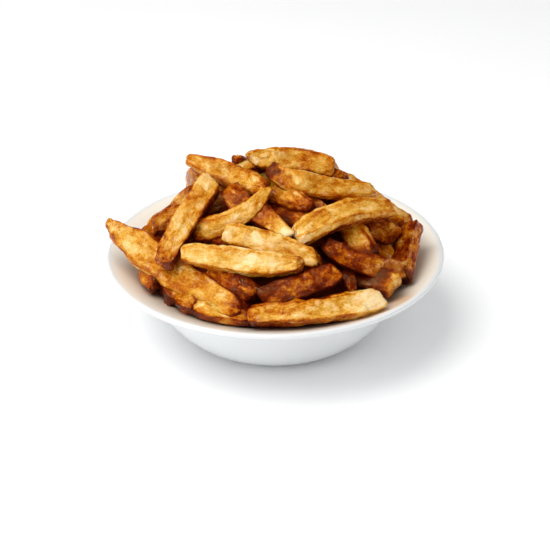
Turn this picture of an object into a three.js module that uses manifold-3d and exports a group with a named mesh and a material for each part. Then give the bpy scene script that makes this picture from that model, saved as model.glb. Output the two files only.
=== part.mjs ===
// A portion of hand-cut french fries, heaped in a white side bowl with a wide sloping flange.
// Millimetres, +Z up. The origin is the middle of the bowl's foot, on the table, and -Y is the front.
// Two solids: the turned bowl, and the heap, which is a core with the fries that show fused onto it.
import * as THREE from 'three';
import { mergeVertices } from 'three/addons/utils/BufferGeometryUtils.js';
import Module from 'manifold-3d';

const wasm = await Module();
wasm.setup();

// ---- Bowl ----
const RIM_RADIUS = 82.5;
const RIM_HEIGHT = 42;
const LIP_DROP = 2.6; // height of the rounded edge's face
const FOOT_RADIUS = 42;
const FOOT_RING_WIDTH = 6;
const FOOT_ROUNDING = 0.6;
const FOOT_RECESS = 1.8; // hollow under the base, inside the foot ring
const SHOULDER_RADIUS = 65; // outside, where the body turns out into the flange
const SHOULDER_HEIGHT = 32.5;
const FLOOR_RADIUS = 36; // inside
const FLOOR_HEIGHT = 6.2;
const MOUTH_RADIUS = 60.4; // inside, where the wall turns out into the flange
const MOUTH_HEIGHT = 31;
const FLANGE_START = [63.5, 34.9]; // radius and height of the flange's upper face at its inner end
const FLANGE_END = [79.2, 41.3];
const BOWL_SIDES = 64;
const CURVE_STEPS = 5;

// ---- Heap ----
const HEAP_RADIUS = 72; // where the heap's outline comes down to the rim's height
const HEAP_RISE = 46; // top of the outline over the rim's height
const HEAP_FLATNESS = 2.4; // 2 is a paraboloid, more is flatter on top
const HEAP_MIDDLE = [1, -2];
const HEAP_BACK_STEEPNESS = 1.18;
const CORE_DEPTH = 16; // the core lies this far under the outline
const CORE_REACH = 66;
const CORE_SIDES = 28;
const CORE_RINGS = 9;
const BOWL_GAP = 0.4; // between the heap and the bowl
const FREE_RADIUS = 100;
const FREE_HEIGHT = 120;

// The heap's outline seen from the front and a little from above, as the height across that view
// over the table at each x: no fry stands higher than this.
const VIEW_TILT = THREE.MathUtils.degToRad(29);
const SKYLINE = [[-84, 40], [-60, 52], [-44, 70], [-38, 85], [26, 84], [32, 75], [60, 58], [84, 40]];

// ---- Fries ----
// How finely each kind is faceted: the sides of its section, how far its corners are pushed out to
// keep the section full, and where the sections stand, as shares of a fry's length.
const FRONT_FACETS = { sides: 8, fullness: 1, stations: [0, 0.06, 0.35, 0.65, 0.94, 1] };
const BACK_FACETS = { sides: 4, fullness: 1.12, stations: [0, 0.06, 0.5, 0.94, 1] };
const SECTION_POWER = 3.2; // 2 is an ellipse, more is squarer
const END_SCALE = 0.72; // the end sections are rounded off to this share of the section
const SAMPLES = 9; // points on a spine for measuring how close two fries lie
const OVER_BOWL = 1.5; // clearance under a loose fry's middle line, beyond half its width
const UNDER_FRONT = 3; // loose fries stay this far under the middle lines of the front fries

// The fries that show from the front, by hand: three points of the spine, the widths at its start,
// middle and end, the thickness, and the degrees by which the wide face leans to the front and right.
const FRONT_FRIES = [
  ['left_big', [-81, -6, 60.5], [-53, -30, 50], [-15.5, -65.5, 43.5], [8, 18, 12], 9, 50, -10],
  ['diagonal', [-29, -6, 81], [-40, -20, 70], [-52, -41, 57], [12, 12, 11], 11, 50, 0],
  ['top_left', [-42, 11, 85.5], [-22, 2, 81], [-3, -12, 79], [6.5, 13, 11], 8, 60, 0],
  ['inner_left', [-21, -7, 77], [-16, -16, 73], [-11, -24, 69], [10, 11, 9], 8, 50, 0],
  ['curled', [-39, -23, 64], [-17, -26, 72], [-4, -15, 82], [13, 10, 5], 6, 55, 0],
  ['pale_back', [-22, -31, 66], [-4, -37, 64], [20, -46, 58], [11, 12, 10], 10, 55, 0],
  ['pale_front', [-42, -40, 61.5], [-15, -48, 61], [12, -53, 60.5], [9, 12, 8], 10, 50, 0],
  ['right', [9, -38, 68], [30, -27, 73], [53, -12, 69], [12, 12.5, 12], 12, 45, 0],
  ['top_right', [-2, -4, 86], [18, -10, 80], [48, -2, 74], [9, 11, 7.5], 9, 60, 0],
  ['top_middle', [-12, 8, 86], [8, 11, 84], [29, 8, 81], [12, 13, 12], 9, 55, 0],
  ['top_back', [10, 24, 79.5], [16, 22, 80], [21, 20, 78.5], [8, 9, 8], 9, 20, 0],
  ['dark_tip', [-19, 14, 82.5], [-15, 25, 76], [-9, 36, 68], [5, 8, 8], 6, 0, 0],
  ['back_left', [-59, 2, 54], [-40, 0, 62], [-19, -4, 70], [10, 11, 11], 10, 45, 0],
  ['back_left_low', [-49, 12, 58], [-44, 10, 63.5], [-39, 6, 71], [8, 8.5, 7], 8, 45, 0],
  ['amber', [-4, -4, 77], [7, -13, 75], [17, -22, 73], [12, 12, 10], 11, 45, 0],
  ['pale_middle', [-14, -14, 73], [-4, -25, 70], [6, -36, 66], [11, 11, 10], 10, 50, 0],
  ['gold_stub', [12, -6, 72], [19, -14, 70], [26, -22, 67], [10, 10, 9], 9, 45, 0],
  ['dark_under', [10, -2, 74], [23, -4, 73], [36, -4, 71], [10, 10, 9], 9, 45, 0],
  ['amber_right', [30, -14, 66], [38, -24, 60], [45, -34, 54], [12, 13, 11], 12, 45, 0],
  ['low_right', [22, -34, 63], [40, -38, 53], [62, -28, 44], [10, 10, 9], 9, 50, 0],
  ['far_right', [69, 2, 53], [63, -14, 48], [60, -32, 42], [10, 12, 9], 9, 40, -40],
  ['back_right', [44, 2, 62], [55, 6, 56], [65, 11, 48.5], [10, 11, 9], 9, 40, 0],
  ['back_right_low', [38, -8, 62], [48, -9, 56], [58, -10, 50], [12, 12, 11], 10, 45, 0],
  ['bottom_long', [-12, -67, 44], [19, -65.5, 45], [48, -54, 44], [11, 12.5, 12], 8.5, 40, 0],
  ['bottom_right', [36, -33, 45], [46, -41, 45], [55, -46, 44.5], [12, 13, 13], 11, 35, 0],
  ['brown_middle', [-7, -58, 47], [11, -55, 51], [29, -46, 54], [11, 11.5, 11], 11, 50, 0],
  ['dark_end', [-31, -38, 54], [-20, -48, 51], [-9, -57, 47], [11, 12, 12], 12, 45, 0],
  ['thin_brown', [-34, -42, 51], [-25, -50, 49], [-16, -56, 46], [8, 8, 7], 6, 50, 0],
  ['low_left', [-60, -15, 43.5], [-59.5, -27, 42.5], [-57, -39, 42], [10, 11, 9], 8, 40, -20],
  ['low_left_inner', [-51, -28, 41], [-49, -38, 41], [-46, -47, 40.5], [8, 9, 8], 7, 30, 0],
  ['low_left_crust', [-46, -45, 41], [-41, -52, 41.5], [-36, -57, 42], [9, 9, 8], 8, 40, 0],
  ['low_front', [-41, -53, 41.5], [-25, -62, 41.5], [-8, -65, 41.5], [8, 8, 8], 6.5, 30, 0],
  ['upright_brown', [34, -36, 51], [34, -43, 48], [34, -50, 45], [8, 8, 8], 7, 45, 0],
];

// The fries of the heap's back, by a rule: each has a slot on a spiral of the golden angle, several
// fries are drawn near it, and the one that fits best stays.
const SEED = 37;
const SLOTS = 88; // on the whole spiral, of which those at the back are used
const SPIRAL_RADIUS = 66;
const FIRST_ANGLE = 1.3;
const GOLDEN_ANGLE = Math.PI * (3 - Math.sqrt(5));
const FOREMOST_SLOT = -4; // the least y of a slot
const FOREMOST = -14; // and of a fry's middle line
const REACH = 70; // the greatest distance of a middle line from the axis
const TRIES = 40;
const SLOT_SHIFT = 5; // how far a draw may move from its slot, each way
const LENGTH = [38, 62];
const WIDTH = [9.5, 13];
const SINK = [2, 15]; // depth of the middle under the outline
const THICK_SHARE = [0.78, 1]; // of the width
const BOW = [-2.5, 2.5]; // sideways, at the middle of the spine
const LEAN = [-35, 35];
const FOLLOW_OUTLINE = 0.4; // how much a loose fry bends with the outline, where 0 is straight
const SINK_WORTH = 0.9; // the weights in the choice between draws
const GAP_COST = 2;
const LIFT_COST = 0.5;
const MAX_LIFT = 3; // a fry that the bowl would raise further isn't laid

const material = (color, roughness) => new THREE.MeshStandardMaterial({ color, roughness, metalness: 0 });
const WHITE_GLAZE = material(0xf0ede6, 0.18);
const FRIED_POTATO = material(0xd6953d, 0.42);

// ---- Joining and cutting ----
function solidOf(geometry) {
  geometry.deleteAttribute('normal');
  geometry.deleteAttribute('uv');
  const merged = mergeVertices(geometry, 1e-4);
  return new wasm.Manifold(new wasm.Mesh({
    numProp: 3,
    vertProperties: merged.getAttribute('position').array,
    triVerts: new Uint32Array(merged.index.array),
  }));
}

// The triangles of the largest connected surface: it leaves out hollows that fusing has sealed, which
// fills them, and loose scraps.
function outerTriangles(triangles, vertexCount) {
  const parent = Array.from({ length: vertexCount }, (_, i) => i);
  const rootOf = (vertex) => {
    let v = vertex;
    while (parent[v] !== v) {
      parent[v] = parent[parent[v]];
      v = parent[v];
    }
    return v;
  };
  for (let i = 0; i < triangles.length; i += 3) {
    parent[rootOf(triangles[i])] = rootOf(triangles[i + 1]);
    parent[rootOf(triangles[i + 2])] = rootOf(triangles[i + 1]);
  }
  const groups = new Map();
  for (let i = 0; i < triangles.length; i += 3) {
    const root = rootOf(triangles[i]);
    if (!groups.has(root)) groups.set(root, []);
    groups.get(root).push(...triangles.subarray(i, i + 3));
  }
  return [...groups.values()].reduce((largest, group) => (group.length > largest.length ? group : largest));
}

function geometryOf(solid) {
  const mesh = solid.getMesh();
  const geometry = new THREE.BufferGeometry();
  geometry.setAttribute('position', new THREE.BufferAttribute(mesh.vertProperties, 3));
  geometry.setIndex(outerTriangles(mesh.triVerts, mesh.numVert));
  geometry.computeVertexNormals();
  return geometry;
}

// ---- The bowl ----
function curvePoints(start, towardsStart, towardsEnd, end) {
  const points = [start, towardsStart, towardsEnd, end].map(([r, z]) => new THREE.Vector2(r, z));
  return new THREE.CubicBezierCurve(...points).getPoints(CURVE_STEPS);
}

// The inside, from the middle of the floor out to the lip: a flat floor, a wall that turns up late,
// and the straight flange.
function insideProfile() {
  return [
    new THREE.Vector2(0, FLOOR_HEIGHT),
    ...curvePoints([FLOOR_RADIUS, FLOOR_HEIGHT], [47, 8], [55.5, 15], [MOUTH_RADIUS, MOUTH_HEIGHT]),
    new THREE.Vector2(MOUTH_RADIUS + 0.9, MOUTH_HEIGHT + 2),
    new THREE.Vector2(...FLANGE_START),
    new THREE.Vector2(...FLANGE_END),
  ];
}

// The outside, from under the base out to the lip's underside.
function outsideProfile() {
  const innerFoot = FOOT_RADIUS - FOOT_RING_WIDTH;
  return [
    new THREE.Vector2(0, FOOT_RECESS),
    new THREE.Vector2(innerFoot - FOOT_RECESS, FOOT_RECESS),
    new THREE.Vector2(innerFoot, 0),
    new THREE.Vector2(FOOT_RADIUS - FOOT_ROUNDING, 0),
    ...curvePoints([FOOT_RADIUS, FOOT_ROUNDING], [51, 5], [59, 14], [SHOULDER_RADIUS, SHOULDER_HEIGHT]),
    new THREE.Vector2(RIM_RADIUS - 2.8, RIM_HEIGHT - LIP_DROP - 0.9),
  ];
}

function lipProfile() {
  const top = RIM_HEIGHT;
  return [
    new THREE.Vector2(RIM_RADIUS - 0.5, top - LIP_DROP),
    new THREE.Vector2(RIM_RADIUS, top - LIP_DROP / 2),
    new THREE.Vector2(RIM_RADIUS - 0.7, top - 0.2),
    new THREE.Vector2(RIM_RADIUS - 1.9, top),
  ];
}

function turned(profile, sides) {
  const geometry = new THREE.LatheGeometry(profile, sides);
  geometry.rotateX(Math.PI / 2);
  return geometry;
}

function bowlGeometry() {
  return turned([...outsideProfile(), ...lipProfile(), ...insideProfile().reverse()], BOWL_SIDES);
}

const INSIDE = insideProfile();

function straightBetween(points, x) {
  const next = points.findIndex(([px]) => px >= x);
  if (next < 1) return points[next === 0 ? 0 : points.length - 1][1];
  const [[x0, y0], [x1, y1]] = [points[next - 1], points[next]];
  return y0 + ((y1 - y0) * (x - x0)) / (x1 - x0);
}

const insideHeight = (radius) => straightBetween(INSIDE.map((p) => [p.x, p.y]), radius);

// All the space that the heap may fill: over the inside of the bowl, with the gap.
function freeSpace() {
  const over = INSIDE.map((p) => new THREE.Vector2(Math.max(0, p.x - BOWL_GAP), p.y + BOWL_GAP));
  over.push(new THREE.Vector2(RIM_RADIUS + BOWL_GAP, RIM_HEIGHT + BOWL_GAP));
  over.push(new THREE.Vector2(FREE_RADIUS, RIM_HEIGHT + BOWL_GAP));
  over.push(new THREE.Vector2(FREE_RADIUS, FREE_HEIGHT));
  over.push(new THREE.Vector2(0, FREE_HEIGHT));
  return solidOf(turned(over, BOWL_SIDES));
}

// ---- The heap's outline and its core ----
function outlineHeight(x, y) {
  const dx = x - HEAP_MIDDLE[0];
  let dy = y - HEAP_MIDDLE[1];
  if (dy > 0) dy *= HEAP_BACK_STEEPNESS;
  return RIM_HEIGHT + HEAP_RISE * (1 - (Math.hypot(dx, dy) / HEAP_RADIUS) ** HEAP_FLATNESS);
}

function coreSolid() {
  const geometry = new THREE.SphereGeometry(1, CORE_SIDES, CORE_RINGS);
  geometry.rotateX(Math.PI / 2);
  const vertices = geometry.getAttribute('position');
  for (let i = 0; i < vertices.count; i += 1) {
    const x = vertices.getX(i) * CORE_REACH;
    const y = vertices.getY(i) * CORE_REACH;
    const onTop = vertices.getZ(i) > -1e-6;
    vertices.setXYZ(i, x, y, onTop ? Math.max(0, outlineHeight(x, y) - CORE_DEPTH) : -1);
  }
  return solidOf(geometry);
}

// ---- One fry ----
function spineCurve([start, middle, end]) {
  const [a, m, b] = [start, middle, end].map((point) => new THREE.Vector3(...point));
  const control = m.multiplyScalar(2).sub(a.clone().add(b).multiplyScalar(0.5));
  return new THREE.QuadraticBezierCurve3(a, control, b);
}

// The width along a fry goes from each end's to the middle's on a parabola.
function widthAt([start, middle, end], t) {
  const fromEnd = t < 0.5 ? start : end;
  return fromEnd + (middle - fromEnd) * (1 - (1 - 2 * Math.min(t, 1 - t)) ** 2);
}

function faceDirection(lean, side) {
  const [l, s] = [THREE.MathUtils.degToRad(lean), THREE.MathUtils.degToRad(side)];
  return new THREE.Vector3(Math.sin(s), -Math.sin(l) * Math.cos(s), Math.cos(l) * Math.cos(s));
}

const squarer = (v) => Math.sign(v) * Math.abs(v) ** (2 / SECTION_POWER) * 0.5;

// A closed bar with flat sides, whose length is laid along the fry's spine.
function fryGeometry({ spine, wide, thick, lean, side, facets: { sides, fullness, stations } }) {
  const steps = stations.length - 1;
  const bar = new THREE.CylinderGeometry(1, 1, 1, sides, steps, false, Math.PI / sides);
  const vertices = bar.getAttribute('position');
  const curve = spineCurve(spine);
  const face = faceDirection(lean, side);
  for (let i = 0; i < vertices.count; i += 1) {
    const station = Math.round((vertices.getY(i) + 0.5) * steps);
    const t = stations[station];
    const scale = fullness * (station === 0 || station === steps ? END_SCALE : 1);
    const along = curve.getTangent(t);
    const through = face.clone().addScaledVector(along, -face.dot(along)).normalize();
    const across = along.clone().cross(through);
    const point = curve.getPoint(t);
    point.addScaledVector(across, squarer(vertices.getX(i)) * widthAt(wide, t) * scale);
    point.addScaledVector(through, squarer(vertices.getZ(i)) * thick * scale);
    vertices.setXYZ(i, point.x, point.y, point.z);
  }
  return bar;
}

// ---- The fries of the back ----
function seededDraws(seed) {
  let state = seed;
  return (low, high) => {
    state = (state * 1664525 + 1013904223) % 4294967296;
    return low + ((high - low) * state) / 4294967296;
  };
}

// What the rules measure on a fry: points along its middle line, and its mean half width.
function measured(fry) {
  const curve = spineCurve(fry.spine);
  const points = Array.from({ length: SAMPLES }, (_, i) => curve.getPoint(i / (SAMPLES - 1)));
  return { ...fry, points, radius: (fry.wide[1] + fry.thick) / 4 };
}

function drawFry(slotX, slotY, draw) {
  const x = slotX + draw(-SLOT_SHIFT, SLOT_SHIFT);
  const y = slotY + draw(-SLOT_SHIFT, SLOT_SHIFT);
  const heading = draw(0, Math.PI);
  const length = draw(...LENGTH);
  const width = draw(...WIDTH);
  const thick = width * draw(...THICK_SHARE);
  const bow = draw(...BOW);
  const lean = draw(...LEAN);
  const sink = draw(...SINK);
  const [c, s] = [Math.cos(heading), Math.sin(heading)];
  const half = length / 2;
  const rise = outlineHeight(x + c * half, y + s * half) - outlineHeight(x - c * half, y - s * half);
  const slope = rise / length;
  const reach = half / Math.hypot(1, slope);
  const middleZ = outlineHeight(x, y) - sink;
  const spine = [-1, 0, 1].map((end) => {
    const sideways = end === 0 ? bow : 0;
    const px = x + end * c * reach - s * sideways;
    const py = y + end * s * reach + c * sideways;
    const straight = middleZ + end * slope * reach;
    const bent = outlineHeight(px, py) - sink;
    return [px, py, straight + (bent - straight) * FOLLOW_OUTLINE];
  });
  const wide = [width * 0.9, width, width * 0.85];
  const flat = measured({ spine, wide, thick, lean, side: 0 });
  const lift = liftOverBowl(flat.points, width / 2 + OVER_BOWL);
  const lifted = spine.map(([px, py, pz]) => [px, py, pz + lift]);
  return { ...measured({ spine: lifted, wide, thick, lean, side: 0 }), facets: BACK_FACETS, sink, lift };
}

function liftOverBowl(points, clearance) {
  const needed = points.map((p) => insideHeight(Math.hypot(p.x, p.y)) + clearance - p.z);
  return Math.max(0, ...needed);
}

function fitsHeap(fry, front) {
  const onBowl = fry.points.every((p) => Math.hypot(p.x, p.y) <= REACH && p.y >= FOREMOST);
  const underSkyline = fry.points.every((p) => {
    const seenHeight = Math.cos(VIEW_TILT) * (p.z + fry.radius) + Math.sin(VIEW_TILT) * p.y;
    return seenHeight <= straightBetween(SKYLINE, p.x);
  });
  return fry.lift <= MAX_LIFT && onBowl && underSkyline && !coversFront(fry, front);
}

function coversFront(fry, front) {
  return front.some((other) => fry.points.some((p) => other.points.some((q) => {
    const apart = Math.hypot(p.x - q.x, p.y - q.y);
    return apart < (fry.radius + other.radius) * 0.9 && p.z > q.z - UNDER_FRONT;
  })));
}

// The lower, the better: overlap with the fries already there, a gap to the nearest, a raised place.
function cost(fry, placed) {
  let overlap = 0;
  let nearest = Infinity;
  for (const other of placed) {
    for (const p of fry.points) {
      for (const q of other.points) {
        const gap = p.distanceTo(q) - fry.radius - other.radius;
        overlap += Math.max(0, -gap);
        nearest = Math.min(nearest, gap);
      }
    }
  }
  return overlap + Math.max(0, nearest) * GAP_COST + fry.lift * LIFT_COST - fry.sink * SINK_WORTH;
}

function backFries(front) {
  const draw = seededDraws(SEED);
  const added = [];
  for (let slot = 0; slot < SLOTS; slot += 1) {
    const angle = FIRST_ANGLE + slot * GOLDEN_ANGLE;
    const radius = SPIRAL_RADIUS * Math.sqrt((slot + 0.5) / SLOTS);
    const [x, y] = [radius * Math.cos(angle), radius * Math.sin(angle)];
    if (y < FOREMOST_SLOT) continue;
    const draws = Array.from({ length: TRIES }, () => drawFry(x, y, draw));
    const fitting = draws.filter((fry) => fitsHeap(fry, front));
    const costs = fitting.map((fry) => cost(fry, [...front, ...added]));
    if (fitting.length) added.push(fitting[costs.indexOf(Math.min(...costs))]);
  }
  return added;
}

function heapGeometry() {
  const front = FRONT_FRIES.map(([, start, middle, end, wide, thick, lean, side]) =>
    measured({ spine: [start, middle, end], wide, thick, lean, side, facets: FRONT_FACETS }));
  let heap = coreSolid();
  for (const fry of [...front, ...backFries(front)]) heap = heap.add(solidOf(fryGeometry(fry)));
  return geometryOf(heap.intersect(freeSpace()));
}

// ---- The portion ----
function namedMesh(name, geometry, surface) {
  const mesh = new THREE.Mesh(geometry, surface);
  mesh.name = name;
  return mesh;
}

const portion = new THREE.Group();
portion.add(namedMesh('bowl', bowlGeometry(), WHITE_GLAZE));
portion.add(namedMesh('fries', heapGeometry(), FRIED_POTATO));

export default portion;
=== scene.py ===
"""A portion of hand-cut french fries, heaped in a white side bowl with a sloping flange.

Laid out as an add-on: each operator makes one piece, or one group of like pieces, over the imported
solids. Driving sizes are millimetres and what goes into a mesh is metres, +Z up, with the front of
the portion towards -Y.
"""

import itertools
import math

import bpy
import numpy as np
from mathutils import Matrix, Vector


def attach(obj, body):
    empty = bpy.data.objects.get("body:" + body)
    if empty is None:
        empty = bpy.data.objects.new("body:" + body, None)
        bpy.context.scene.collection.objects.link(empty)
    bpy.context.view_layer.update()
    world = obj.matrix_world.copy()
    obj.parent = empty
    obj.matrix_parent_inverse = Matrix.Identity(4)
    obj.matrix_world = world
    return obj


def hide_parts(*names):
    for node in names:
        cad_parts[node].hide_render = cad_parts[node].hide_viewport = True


bl_info = {
    "name": "Bowl of french fries",
    "version": (1, 0, 0),
    "blender": (4, 5, 0),
    "location": "3D View > Sidebar > Fries",
    "description": "Builds a heaped portion of hand-cut fries in its side bowl",
    "category": "Object",
}

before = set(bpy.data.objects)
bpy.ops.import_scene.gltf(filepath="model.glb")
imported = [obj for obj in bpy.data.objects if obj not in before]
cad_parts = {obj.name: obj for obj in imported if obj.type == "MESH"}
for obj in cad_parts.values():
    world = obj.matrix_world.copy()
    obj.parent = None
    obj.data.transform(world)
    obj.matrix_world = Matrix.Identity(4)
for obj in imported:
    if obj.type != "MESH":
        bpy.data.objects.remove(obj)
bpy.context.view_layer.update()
BODY = "root"
MM = 0.001

# ---- Bowl, in mm ----
RIM_RADIUS = 82.5
RIM_HEIGHT = 42
FOOT_RADIUS = 42
FOOT_RING_WIDTH = 6
FOOT_ROUNDING = 0.6
FOOT_BEVEL = (0.4, 0.3)  # of the foot ring's inner edge
FOOT_RECESS = 1.8
SHOULDER = (65, 32.5)  # outside, where the body turns out into the flange: radius and height
FLOOR = (36, 6.2)  # inside, where the flat floor ends
MOUTH = (60.4, 31)  # inside, where the wall turns out into the flange
MOUTH_TURN = (0.9, 2)  # on from the mouth, in the middle of that turn
BODY_HANDLES = ((51, 5), (59, 14))  # of the curve from the foot to the shoulder
WALL_HANDLES = ((47, 8), (55.5, 15))  # of the curve from the floor to the mouth
FLANGE_START = (63.5, 34.9)
FLANGE_END = (79.2, 41.3)
LIP_UNDERSIDE = (79.7, 38.5)
LIP_RADIUS = 1.4
CURVE_STEPS = 28
LIP_STEPS = 13
MEASURED_STEPS = 5  # of the wall that the rule for loose fries measures by
INSIDE_MARGIN = (0.1, 0.5)  # how far out, and how far under the inside, still counts as inside
FRY_SHADE_RISE = 4.0  # how steeply the glaze looks up at fries near it, over how much it looks inwards
FRY_SHADE_CROWDING = (0.55, 1.3)  # where the painted warm shade from the fries starts and where it is whole

# ---- Heap, in mm ----
HEAP_RADIUS = 72  # where the heap's outline comes down to the rim's height
HEAP_RISE = 46  # of its top over the rim
HEAP_FLATNESS = 2.4  # higher is flatter on top and steeper at the side
HEAP_MIDDLE = (1, -2)
HEAP_BACK_STEEPNESS = 1.18
VIEW_TILT = math.radians(29)  # of the view from the front that the skyline is drawn in
SKYLINE = ((-84, 40), (-60, 52), (-44, 70), (-38, 85), (26, 84), (32, 75), (60, 58), (84, 40))
SAMPLES = 9  # points on a spine for measuring how close two fries lie
OVER_BOWL = 1.5  # clearance under a loose fry's middle line, beyond half its width
UNDER_FRONT = 3  # loose fries stay this far under the middle lines of the front fries

# ---- The heap's core, in mm ----
CORE_DEPTH = 25  # under the heap's outline
CORE_RADIUS = 59.5
CORE_RINGS = 40
CORE_SIDES = 96
CORE_GAP = 0.6  # to the bowl
CORE_THINNEST = 0.5
CORE_BUMP_LENGTH = 7
CORE_BUMP_HEIGHT = 2.5
CORE_SEED = 77

# The fries that show from the front: three points of the spine, the widths at its start, middle and
# end, the thickness, the degrees by which the wide face leans to the front and to the right, and how
# dark it is at its start, middle and end: its frying, with painted shade where it lies in shadow.
# That is 0 for pale, 1 for dark and DARKEST for burnt, and less than 0 for a place that stays pale
# under its marks. Two more values stand for SIDE_BROWNING_AND_SHADE on that fry.
FRONT_FRIES = (
    ("left_big", (-81, -6, 60.5), (-53, -30, 50), (-15.5, -65.5, 43.5), (4, 18, 12), 9, 50, -10,
     (0.5, 0.38, 0.55, 0.3, 0.05)),
    ("diagonal", (-29, -6, 81), (-40, -20, 70), (-52, -41, 57), (12, 12, 11), 11, 50, 0,
     (0.14, 0.52, 0.46, 0.1, 0.45)),
    ("top_left", (-42, 11, 85.5), (-22, 2, 81), (-3, -12, 79), (6.5, 13, 11), 8, 60, 0, (0.42, 0.44, 0.43)),
    ("inner_left", (-21, -7, 77), (-16, -16, 73), (-11, -24, 69), (10, 11, 9), 8, 50, 0, (0.55, 0.66, 0.5)),
    ("curled", (-39, -23, 64), (-17, -26, 72), (-4, -15, 82), (13, 10, 5), 6, 55, 0, (0.43, 0.34, 0.26)),
    ("pale_back", (-22, -31, 66), (-4, -37, 64), (20, -46, 58), (11, 12, 10), 10, 55, 0, (0.15, 0.37, 0.28)),
    ("pale_front", (-42, -40, 61.5), (-15, -48, 61), (12, -53, 60.5), (9, 12, 8), 10, 50, 0,
     (0.28, 0.24, 0.34)),
    ("right", (9, -38, 68), (30, -27, 73), (53, -12, 69), (12, 12.5, 12), 12, 45, 0,
     (0.06, 0.4, 0.3, -0.1, 0.45)),
    ("top_right", (-2, -4, 86), (18, -10, 80), (48, -2, 74), (9, 11, 7.5), 9, 60, 0,
     (0.9, 0.44, 0.22, -0.3, 0.4)),
    ("top_middle", (-12, 8, 86), (8, 11, 84), (29, 8, 81), (12, 13, 12), 9, 55, 0, (0.15, 0.4, 0.35)),
    ("top_back", (10, 24, 79.5), (16, 22, 80), (21, 20, 78.5), (8, 9, 8), 9, 20, 0, (0.4, 0.4, 0.4)),
    ("dark_tip", (-19, 14, 82.5), (-15, 25, 76), (-9, 36, 68), (5, 8, 8), 6, 0, 0, (0.4, 0.4, 0.4)),
    ("back_left", (-59, 2, 54), (-40, 0, 62), (-19, -4, 70), (10, 11, 11), 10, 45, 0, (0.48, 0.55, 0.5)),
    ("back_left_low", (-49, 12, 58), (-44, 10, 63.5), (-39, 6, 71), (8, 8.5, 7), 8, 45, 0, (0.5, 0.45, 0.5)),
    ("amber", (-4, -4, 77), (7, -13, 75), (17, -22, 73), (12, 12, 10), 11, 45, 0, (0.08, 0.42, 0.66)),
    ("pale_middle", (-14, -14, 73), (-4, -25, 70), (6, -36, 66), (11, 11, 10), 10, 50, 0, (1, 0.75, -0.3)),
    ("gold_stub", (12, -6, 72), (19, -14, 70), (26, -22, 67), (10, 10, 9), 9, 45, 0, (0.6, 0.5, 0.6)),
    ("dark_under", (10, -2, 74), (23, -4, 73), (36, -4, 71), (10, 10, 9), 9, 45, 0, (0.8, 0.8, 0.8)),
    ("amber_right", (30, -14, 66), (38, -24, 60), (45, -34, 54), (12, 13, 11), 12, 45, 0, (0.45, 0.4, 1.15)),
    ("low_right", (22, -34, 63), (40, -38, 53), (62, -28, 44), (10, 10, 9), 9, 50, 0, (0.74, 0.94, 0.2)),
    ("far_right", (69, 2, 53), (63, -14, 48), (60, -32, 42), (10, 12, 9), 9, 40, -40, (0.65, 0.6, 0.8)),
    ("back_right", (44, 2, 62), (55, 6, 56), (65, 11, 48.5), (10, 11, 9), 9, 40, 0, (0.2, 0.48, 1.15)),
    ("back_right_low", (38, -8, 62), (48, -9, 56), (58, -10, 50), (12, 12, 11), 10, 45, 0, (0.8, 0.7, 0.75)),
    ("bottom_long", (-12, -67, 44), (19, -65.5, 45), (48, -54, 44), (11, 12.5, 12), 8.5, 40, 0,
     (0.72, 0.33, -0.18)),
    ("bottom_right", (36, -33, 45), (46, -41, 45), (55, -46, 44.5), (12, 13, 13), 11, 35, 0, (1, 1, 0.18)),
    ("brown_middle", (-7, -58, 47), (11, -55, 51), (29, -46, 54), (11, 11.5, 11), 11, 50, 0,
     (1.02, 0.97, 0.7)),
    ("dark_end", (-31, -38, 54), (-20, -48, 51), (-9, -57, 47), (11, 12, 12), 12, 45, 0, (0.05, 0.7, 0.6)),
    ("thin_brown", (-34, -42, 51), (-25, -50, 49), (-16, -56, 46), (8, 8, 7), 6, 50, 0, (0.6, 0.6, 0.6)),
    ("low_left", (-60, -15, 43.5), (-59.5, -27, 42.5), (-57, -39, 42), (10, 11, 9), 8, 40, -20,
     (0.5, 0.55, 0.7)),
    ("low_left_inner", (-51, -28, 41), (-49, -38, 41), (-46, -47, 40.5), (8, 9, 8), 7, 30, 0,
     (0.8, 0.85, 0.85)),
    ("low_left_crust", (-46, -45, 41), (-41, -52, 41.5), (-36, -57, 42), (9, 9, 8), 8, 40, 0,
     (0.5, 0.65, 1.05)),
    ("low_front", (-41, -53, 41.5), (-25, -62, 41.5), (-8, -65, 41.5), (8, 8, 8), 6.5, 30, 0,
     (0.9, 0.36, 1.05)),
    ("upright_brown", (34, -36, 51), (34, -43, 48), (34, -50, 45), (8, 8, 8), 7, 45, 0, (0.75, 0.8, 0.58)),
)

# A dark fry deep between the front ones, where a gap would show the bowl.
GAP_FRIES = (
    ("gap_right", (49, -1, 44), (58, 6, 43.5), (66, 13, 44.5), (9, 11, 9), 9, 40, 0, (0.75, 0.75, 0.75)),
)
FRONT_SEED = 0
GAP_SEED = 12000
SEED_STEP = 37  # from one fry's seed to the next

# The fries laid by rule: each has a slot on a spiral of the golden angle, several fries are drawn
# near it, and the one that fits best stays.
BACK_FRIES = {
    "seed": 37, "slots": 88, "spread": 66, "first_angle": 1.3, "foremost_slot": -4, "foremost": -14,
    "reach": 70, "tries": 40, "length": (38, 62), "width": (9.5, 13), "sink": (2, 15),
    "first_fry_seed": 5000, "tone": (0.15, 0.55),
}
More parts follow.
